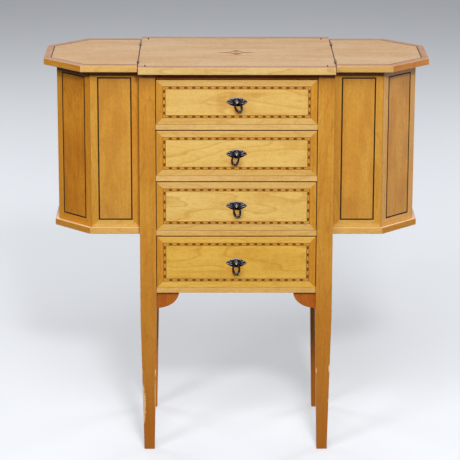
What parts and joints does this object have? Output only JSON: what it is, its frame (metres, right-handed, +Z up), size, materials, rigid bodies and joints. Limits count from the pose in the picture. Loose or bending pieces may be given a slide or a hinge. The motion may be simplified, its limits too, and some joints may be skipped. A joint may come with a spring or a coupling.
{
  "type": "sewing cabinet",
  "caption": "Small sewing cabinet on tapered square legs: a stack of inlaid drawers between half-octagon storage wings whose lids hinge on a fixed centre top.",
  "frame": {"origin": "on the floor, under the middle of the cabinet", "axes": "+X to the right seen from the drawers, +Y from the drawers to the back, +Z up"},
  "size_m": [0.719, 0.302, 0.7534],
  "materials": {
    "veneer": "honey-coloured veneer under old satin varnish",
    "drawer_veneer": "pale figured veneer under old satin varnish",
    "inner_wood": "plain unvarnished softwood",
    "iron": "blackened, worn at the edges",
    "steel": "dull and darkened"
  },
  "bodies": {
    "case": {"leg_front_left": "veneer", "leg_front_right": "veneer", "leg_rear_left": "veneer", "leg_rear_right": "veneer", "side_panel_left": "veneer", "side_panel_right": "veneer", "back_panel": "inner_wood", "top_rail": "veneer", "divider_rail_1": "veneer", "divider_rail_2": "veneer", "divider_rail_3": "veneer", "dust_board_1": "inner_wood", "dust_board_2": "inner_wood", "dust_board_3": "inner_wood", "bottom_board": "veneer", "bracket_left": "veneer", "bracket_right": "veneer", "centre_top": "veneer", "hinge_left_front_top_leaf": "steel", "hinge_left_rear_top_leaf": "steel", "hinge_right_front_top_leaf": "steel", "hinge_right_rear_top_leaf": "steel", "wing_left_front": "veneer", "wing_left_front_diagonal": "veneer", "wing_left_side": "veneer", "wing_left_rear_diagonal": "veneer", "wing_left_rear": "veneer", "wing_left_floor": "veneer", "wing_right_front": "veneer", "wing_right_front_diagonal": "veneer", "wing_right_side": "veneer", "wing_right_rear_diagonal": "veneer", "wing_right_rear": "veneer", "wing_right_floor": "veneer"},
    "left_lid": {"lid_left": "veneer", "hinge_left_front_lid_leaf": "steel", "hinge_left_rear_lid_leaf": "steel"},
    "right_lid": {"lid_right": "veneer", "hinge_right_front_lid_leaf": "steel", "hinge_right_rear_lid_leaf": "steel"},
    "drawer_1": {"drawer_1_front": "drawer_veneer", "drawer_1_box": "inner_wood", "drawer_1_bottom": "inner_wood", "pull_1_plate": "iron"},
    "drawer_2": {"drawer_2_front": "drawer_veneer", "drawer_2_box": "inner_wood", "drawer_2_bottom": "inner_wood", "pull_2_plate": "iron"},
    "drawer_3": {"drawer_3_front": "drawer_veneer", "drawer_3_box": "inner_wood", "drawer_3_bottom": "inner_wood", "pull_3_plate": "iron"},
    "drawer_4": {"drawer_4_front": "drawer_veneer", "drawer_4_box": "inner_wood", "drawer_4_bottom": "inner_wood", "pull_4_plate": "iron"},
    "ring_1": {"pull_1_ring": "iron"},
    "ring_2": {"pull_2_ring": "iron"},
    "ring_3": {"pull_3_ring": "iron"},
    "ring_4": {"pull_4_ring": "iron"}
  },
  "joints": [
    {"name": "left_lid_hinge", "type": "hinge", "parent": "case", "child": "left_lid", "pos_m": [-0.1825, 0, 0.7514], "axis": [0, 1, 0], "range_deg": [0, 180]},
    {"name": "right_lid_hinge", "type": "hinge", "parent": "case", "child": "right_lid", "pos_m": [0.1825, 0, 0.7514], "axis": [0, -1, 0], "range_deg": [0, 180]},
    {"name": "drawer_1_slide", "type": "slide", "parent": "case", "child": "drawer_1", "axis": [0, -1, 0], "range_m": [0, 0.19]},
    {"name": "drawer_2_slide", "type": "slide", "parent": "case", "child": "drawer_2", "axis": [0, -1, 0], "range_m": [0, 0.19]},
    {"name": "drawer_3_slide", "type": "slide", "parent": "case", "child": "drawer_3", "axis": [0, -1, 0], "range_m": [0, 0.19]},
    {"name": "drawer_4_slide", "type": "slide", "parent": "case", "child": "drawer_4", "axis": [0, -1, 0], "range_m": [0, 0.19]},
    {"name": "ring_1_swing", "type": "hinge", "parent": "drawer_1", "child": "ring_1", "pos_m": [0, -0.142, 0.68315], "axis": [-1, 0, 0], "range_deg": [-12, 100]},
    {"name": "ring_2_swing", "type": "hinge", "parent": "drawer_2", "child": "ring_2", "pos_m": [0, -0.142, 0.58475], "axis": [-1, 0, 0], "range_deg": [-12, 100]},
    {"name": "ring_3_swing", "type": "hinge", "parent": "drawer_3", "child": "ring_3", "pos_m": [0, -0.142, 0.48545], "axis": [-1, 0, 0], "range_deg": [-12, 100]},
    {"name": "ring_4_swing", "type": "hinge", "parent": "drawer_4", "child": "ring_4", "pos_m": [0, -0.142, 0.3744], "axis": [-1, 0, 0], "range_deg": [-12, 100]}
  ]
}
